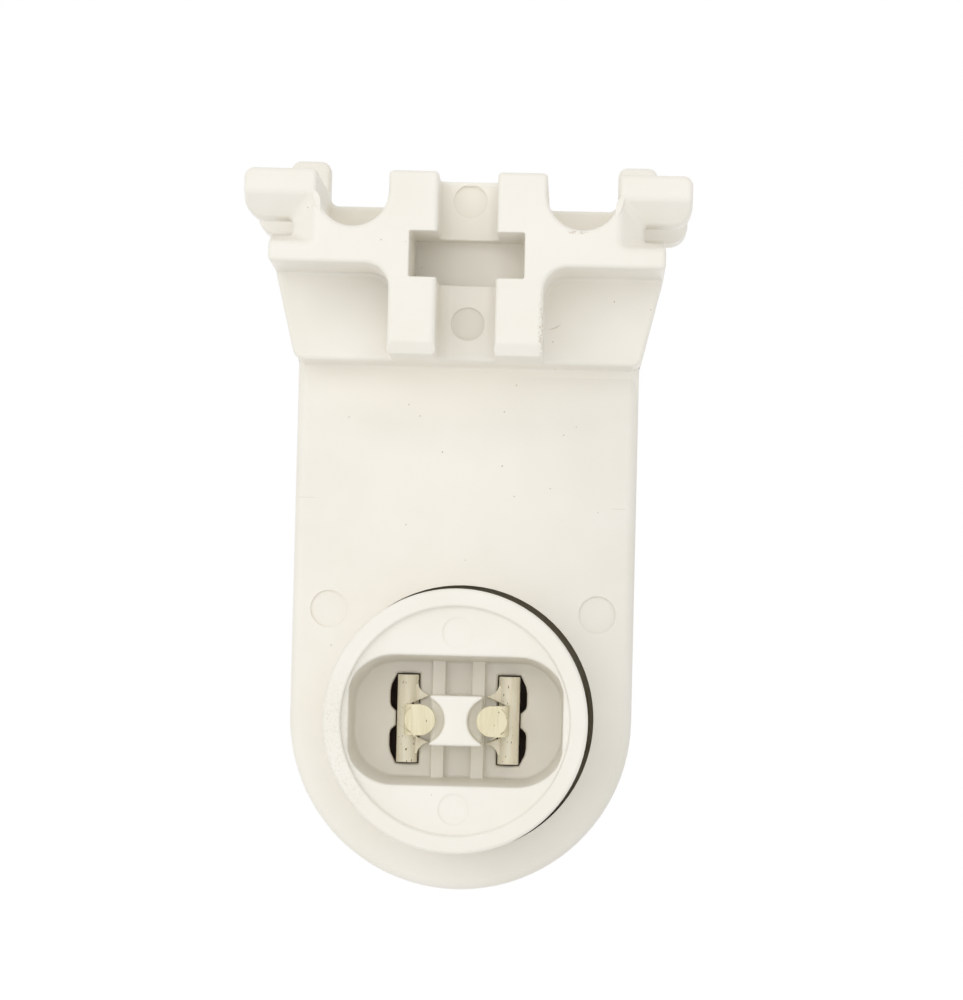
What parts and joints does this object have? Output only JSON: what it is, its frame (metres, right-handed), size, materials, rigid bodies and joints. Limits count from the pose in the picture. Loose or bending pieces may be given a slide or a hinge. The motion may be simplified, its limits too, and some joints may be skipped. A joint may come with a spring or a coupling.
{
  "type": "lamp holder",
  "caption": "Sprung plunger lamp holder for recessed double contact tubes, with a long moulded body and a slotted slide-on mounting foot.",
  "frame": {"origin": "middle of the foot's mounting face", "axes": "+Z out of the mounting face, +Y from the lamp side to the back, +X across the foot"},
  "size_m": [0.0362, 0.0326, 0.061],
  "materials": {
    "ivory_plastic": "moulded, warm white",
    "contact_metal": "plated, lightly streaked",
    "steel": "zinc plated"
  },
  "bodies": {
    "housing": {"housing": "ivory_plastic", "back_cover": "ivory_plastic", "cover_screw_left": "steel", "cover_screw_right": "steel", "plunger_spring": "steel"},
    "plunger": {"plunger": "ivory_plastic", "plunger_cap": "ivory_plastic", "contact_left": "contact_metal", "contact_right": "contact_metal", "wire_clamp_left": "steel", "wire_clamp_right": "steel"}
  },
  "joints": [
    {"name": "plunger_slide", "type": "slide", "parent": "housing", "child": "plunger", "axis": [0, 1, 0], "range_m": [0, 0.007], "stiffness_N_per_m": 1200, "springref_m": -0.006, "deforming": ["plunger_spring"]}
  ]
}
